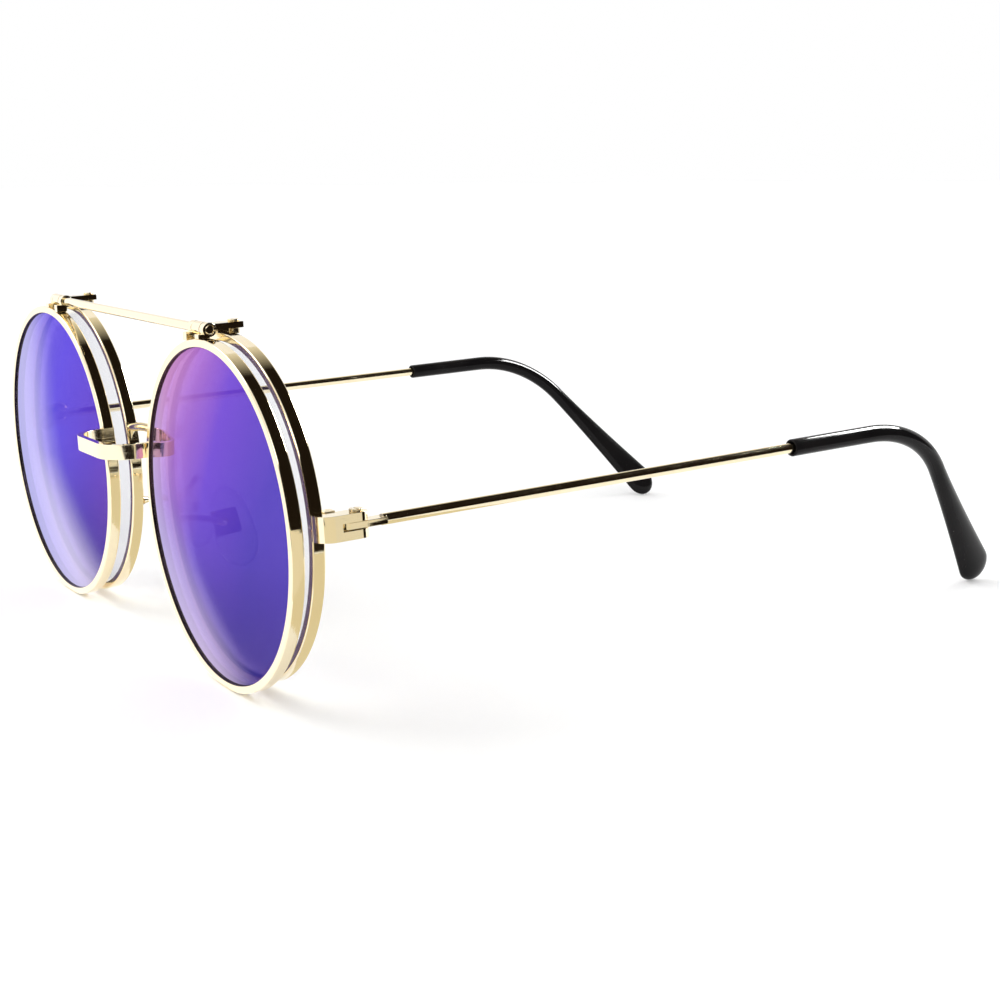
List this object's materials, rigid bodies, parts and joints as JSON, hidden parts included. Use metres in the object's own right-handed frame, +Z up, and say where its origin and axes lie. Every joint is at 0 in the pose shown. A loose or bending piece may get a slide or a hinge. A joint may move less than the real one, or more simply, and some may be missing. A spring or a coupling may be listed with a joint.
{
  "type": "flip up sunglasses",
  "caption": "Round wire-frame glasses with a second, mirror-lensed front that flips up on a bar over the lenses, nose pads and folding temples.",
  "frame": {"origin": "on the table plane, in the middle of the width and of the depth of the open glasses", "axes": "+Z up, the lenses face -Y, the temples run towards +Y, +X is the wearer's left"},
  "size_m": [0.1258, 0.1536, 0.0544],
  "materials": {
    "gold_metal": "mirror-polished pale gold plating",
    "screw_metal": "plated, slightly worn",
    "clear_lens": "clear, polished",
    "mirror_lens": "violet and blue mirror coating",
    "pad_plastic": "clear soft plastic",
    "tip_plastic": "glossy black"
  },
  "bodies": {
    "frame": {"rear_rim_left": "gold_metal", "rear_rim_right": "gold_metal", "clear_lens_left": "clear_lens", "clear_lens_right": "clear_lens", "rear_bridge": "gold_metal", "end_piece_left": "gold_metal", "end_piece_right": "gold_metal", "rim_lock_left": "gold_metal", "rim_lock_right": "gold_metal", "lock_screws": "screw_metal", "flip_leaf_left": "gold_metal", "flip_leaf_right": "gold_metal", "leaf_rivets": "screw_metal", "pad_arm_left": "gold_metal", "pad_arm_right": "gold_metal", "pad_box_left": "gold_metal", "pad_box_right": "gold_metal", "pad_screws": "screw_metal", "hinge_screws": "screw_metal"},
    "flip_front": {"front_rim_left": "gold_metal", "front_rim_right": "gold_metal", "mirror_lens_left": "mirror_lens", "mirror_lens_right": "mirror_lens", "front_bridge": "gold_metal", "brow_bar": "gold_metal", "flip_lugs_left": "gold_metal", "flip_lugs_right": "gold_metal"},
    "temple_left": {"temple_wire_left": "gold_metal", "temple_tip_left": "tip_plastic"},
    "temple_right": {"temple_wire_right": "gold_metal", "temple_tip_right": "tip_plastic"},
    "pad_left": {"nose_pad_left": "pad_plastic"},
    "pad_right": {"nose_pad_right": "pad_plastic"}
  },
  "joints": [
    {"name": "front_flip", "type": "hinge", "parent": "frame", "child": "flip_front", "pos_m": [0, -0.06967, 0.05318], "axis": [-1, 0, 0], "range_deg": [0, 95]},
    {"name": "left_temple_fold", "type": "hinge", "parent": "frame", "child": "temple_left", "pos_m": [0.06133, -0.06097, 0.02875], "axis": [-0.0384, -0.0384, 0.9985], "range_deg": [0, 88]},
    {"name": "right_temple_fold", "type": "hinge", "parent": "frame", "child": "temple_right", "pos_m": [-0.06133, -0.06097, 0.02875], "axis": [-0.0384, 0.0384, -0.9985], "range_deg": [0, 81]},
    {"name": "left_pad_rock", "type": "hinge", "parent": "frame", "child": "pad_left", "pos_m": [0.00853, -0.05672, 0.01931], "axis": [0.3757, 0.9035, 0.2063], "range_deg": [-8, 8]},
    {"name": "right_pad_rock", "type": "hinge", "parent": "frame", "child": "pad_right", "pos_m": [-0.00853, -0.05672, 0.01931], "axis": [0.3757, -0.9035, -0.2063], "range_deg": [-8, 8]}
  ]
}
